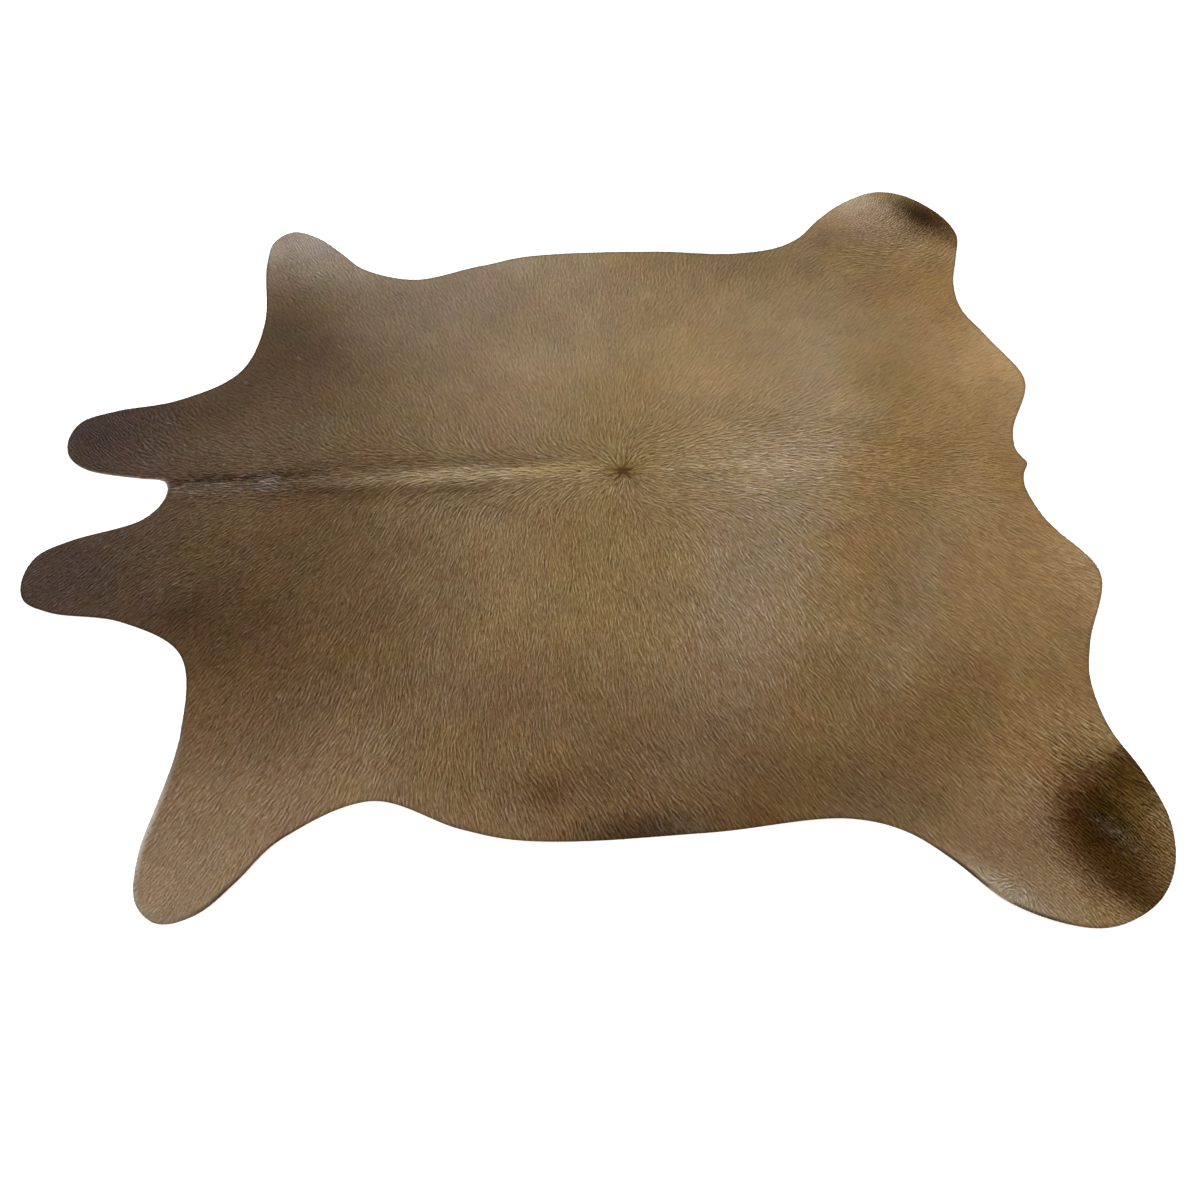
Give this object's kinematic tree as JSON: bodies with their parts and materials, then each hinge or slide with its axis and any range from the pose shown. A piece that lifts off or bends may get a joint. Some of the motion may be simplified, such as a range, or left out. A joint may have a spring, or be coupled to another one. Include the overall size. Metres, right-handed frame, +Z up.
{
  "type": "cowhide rug",
  "caption": "Flat whole cowhide rug with short tan hair, two neck flaps, four leg lobes, a spine ridge with a whorl and a tail stub.",
  "frame": {"origin": "on the floor under the middle of the hide's bounding box", "axes": "+X along the spine from the neck flaps to the tail stub, +Y to the animal's right side, +Z up through the hair side"},
  "size_m": [2.25, 1.9599, 0.0127],
  "materials": {
    "coat": "short flat-lying tan hair on tanned leather, with a suede underside"
  },
  "bodies": {
    "root": {"hide": "coat"}
  },
  "joints": []
}
